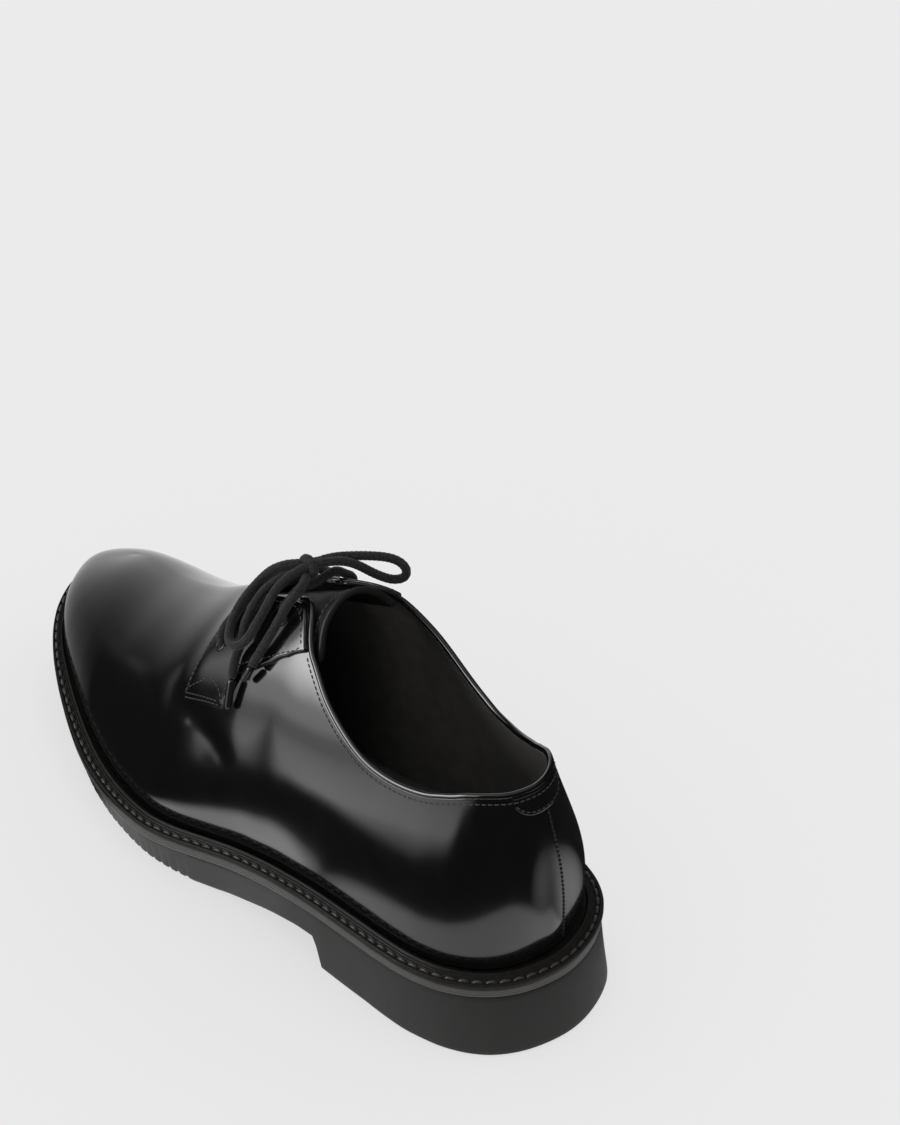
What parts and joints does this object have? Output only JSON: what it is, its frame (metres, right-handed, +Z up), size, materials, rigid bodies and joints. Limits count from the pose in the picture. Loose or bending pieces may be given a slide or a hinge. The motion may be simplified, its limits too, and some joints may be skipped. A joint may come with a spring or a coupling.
{
  "type": "derby shoe",
  "caption": "Plain black polished leather derby shoe with open lacing tied in a bow, stitched welt, light midsole band and a thick rubber sole with a low heel.",
  "frame": {"origin": "on the floor under the middle of the shoe's length and width", "axes": "+X towards the toe, +Y towards the outer (lateral) side of this left shoe, +Z up"},
  "size_m": [0.3013, 0.104, 0.1301],
  "materials": {
    "rubber": "matte black moulded rubber",
    "grey_band": "satin grey edge",
    "welt_leather": "satin black, notched and stitched",
    "polished_leather": "high shine black",
    "lining": "matte black",
    "cotton_lace": "matte black round braid"
  },
  "bodies": {
    "root": {"outsole": "rubber", "midsole": "grey_band", "welt": "welt_leather", "insole": "lining", "upper": "polished_leather", "facing_lateral": "polished_leather", "facing_medial": "polished_leather", "tongue": "lining", "back_tab": "polished_leather", "lace_bar_1": "cotton_lace", "lace_bar_2": "cotton_lace", "lace_bar_3": "cotton_lace", "lace_knot": "cotton_lace", "lace_loop_lateral": "cotton_lace", "lace_loop_medial": "cotton_lace", "lace_end_front": "cotton_lace", "lace_end_rear": "cotton_lace"}
  },
  "joints": []
}
